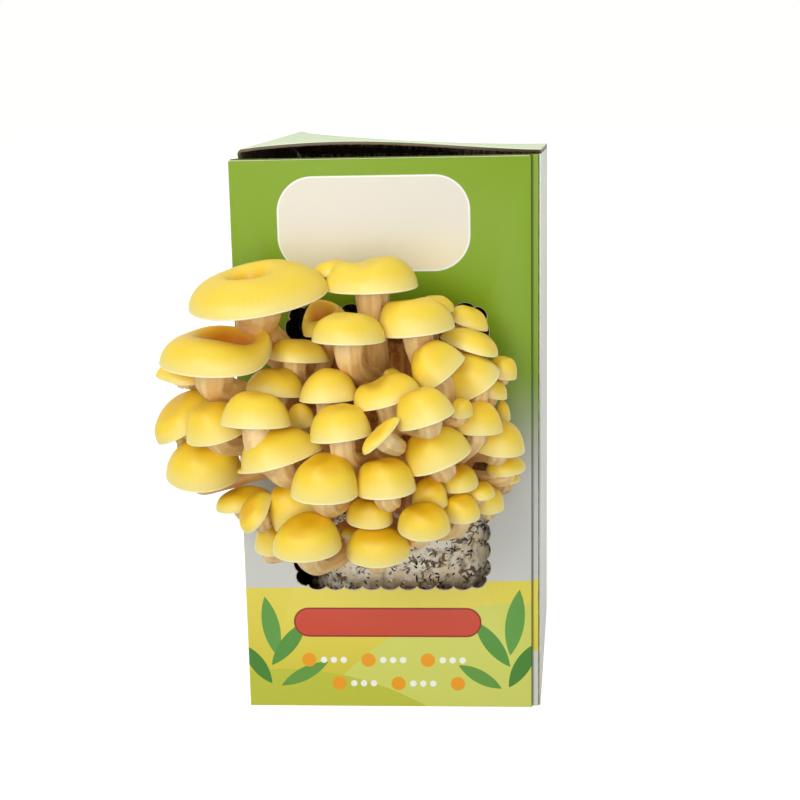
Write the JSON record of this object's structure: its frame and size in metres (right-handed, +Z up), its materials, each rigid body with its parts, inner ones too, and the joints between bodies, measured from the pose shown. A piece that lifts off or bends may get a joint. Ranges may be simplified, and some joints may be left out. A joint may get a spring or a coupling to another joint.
{
  "type": "oyster mushroom grow kit",
  "caption": "Windowed card carton with a hinged lid, holding a growing block from which a cluster of golden oyster mushrooms has fruited out through the front opening.",
  "frame": {"origin": "middle of the carton's bottom face, level with the surface it stands on", "axes": "+Z up, -Y out through the front with the window, +X to the right when the front is faced"},
  "size_m": [0.1495, 0.2044, 0.229],
  "materials": {
    "printed_board": "satin print, green above and pale grey below",
    "grey_board": "matte",
    "pale_board": "matte, with brown cut edges",
    "grown_straw": "rough, speckled with dark flecks",
    "cap_skin": "satin, moist",
    "stem_flesh": "matte, fibrous"
  },
  "bodies": {
    "kit": {"carton_body": "grey_board", "carton_cover": "printed_board", "substrate_block": "grown_straw", "stems_middle": "stem_flesh", "stems_top": "stem_flesh", "stems_upper_left": "stem_flesh", "stems_left": "stem_flesh", "stems_upper_right": "stem_flesh", "stems_right": "stem_flesh", "stems_lower": "stem_flesh", "cap_01": "cap_skin", "cap_02": "cap_skin", "cap_03": "cap_skin", "cap_04": "cap_skin", "cap_05": "cap_skin", "cap_06": "cap_skin", "cap_07": "cap_skin", "cap_08": "cap_skin", "cap_09": "cap_skin", "cap_10": "cap_skin", "cap_11": "cap_skin", "cap_12": "cap_skin", "cap_13": "cap_skin", "cap_14": "cap_skin", "cap_15": "cap_skin", "cap_16": "cap_skin", "cap_17": "cap_skin", "cap_18": "cap_skin", "cap_19": "cap_skin", "cap_20": "cap_skin", "cap_21": "cap_skin", "cap_22": "cap_skin", "cap_23": "cap_skin", "cap_24": "cap_skin", "cap_25": "cap_skin", "cap_26": "cap_skin", "cap_27": "cap_skin", "cap_28": "cap_skin", "cap_29": "cap_skin", "cap_30": "cap_skin", "cap_31": "cap_skin", "cap_32": "cap_skin", "cap_33": "cap_skin", "cap_34": "cap_skin", "cap_35": "cap_skin", "cap_36": "cap_skin", "cap_37": "cap_skin", "cap_38": "cap_skin", "cap_39": "cap_skin", "cap_40": "cap_skin", "cap_41": "cap_skin", "cap_42": "cap_skin", "cap_43": "cap_skin", "cap_44": "cap_skin", "cap_45": "cap_skin", "cap_46": "cap_skin", "cap_47": "cap_skin", "cap_48": "cap_skin", "cap_49": "cap_skin"},
    "lid": {"lid": "pale_board"}
  },
  "joints": [
    {"name": "lid_hinge", "type": "hinge", "parent": "kit", "child": "lid", "pos_m": [0.05525, -0.059, 0.2203], "axis": [0.0634, 0.998, 0], "range_deg": [0, 150]}
  ]
}
